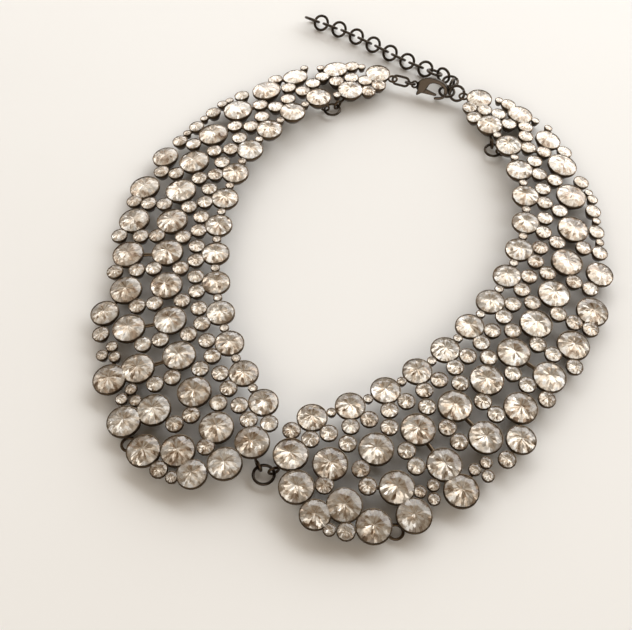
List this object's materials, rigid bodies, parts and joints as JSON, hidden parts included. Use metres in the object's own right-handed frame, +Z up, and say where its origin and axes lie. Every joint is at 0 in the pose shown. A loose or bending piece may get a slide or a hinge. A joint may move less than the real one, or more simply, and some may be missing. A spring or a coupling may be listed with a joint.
{
  "type": "bib necklace",
  "caption": "Bib necklace: curved panels of round cup-set crystals joined by a ring at the throat, with hinged end panels, a lobster clasp and an extender chain.",
  "frame": {"origin": "middle of the footprint, on the surface the necklace lies on", "axes": "+Z up, -Y towards the throat ring, +Y towards the clasp, +X the panel that carries the chain"},
  "size_m": [0.163, 0.2018, 0.0076],
  "materials": {
    "crystal_setting": "polished",
    "gunmetal": "polished"
  },
  "bodies": {
    "necklace": {"right_panel": "crystal_setting", "left_panel": "crystal_setting", "right_end_panel": "crystal_setting", "left_end_panel": "crystal_setting", "right_hinge_ring": "gunmetal", "left_hinge_ring": "gunmetal", "front_ring": "gunmetal", "clasp_ring": "gunmetal", "clasp_link": "gunmetal", "clasp_body": "gunmetal", "chain_link_01": "gunmetal", "chain_link_02": "gunmetal", "chain_link_03": "gunmetal", "chain_link_04": "gunmetal", "chain_link_05": "gunmetal", "chain_link_06": "gunmetal", "chain_link_07": "gunmetal", "chain_link_08": "gunmetal", "chain_link_09": "gunmetal", "chain_link_10": "gunmetal", "chain_link_11": "gunmetal", "chain_link_12": "gunmetal", "chain_link_13": "gunmetal", "chain_link_14": "gunmetal", "chain_link_15": "gunmetal", "chain_link_16": "gunmetal", "chain_link_17": "gunmetal", "chain_link_18": "gunmetal", "chain_link_19": "gunmetal", "chain_link_20": "gunmetal"},
    "clasp_lever": {"clasp_lever": "gunmetal"}
  },
  "joints": [
    {"name": "clasp_lever_hinge", "type": "hinge", "parent": "necklace", "child": "clasp_lever", "pos_m": [-0.0023, 0.07557, 0.00264], "axis": [0, -0.8191, 0.5736], "range_deg": [0, 22], "stiffness_Nm_per_rad": 0.01, "springref_deg": -9.74}
  ]
}
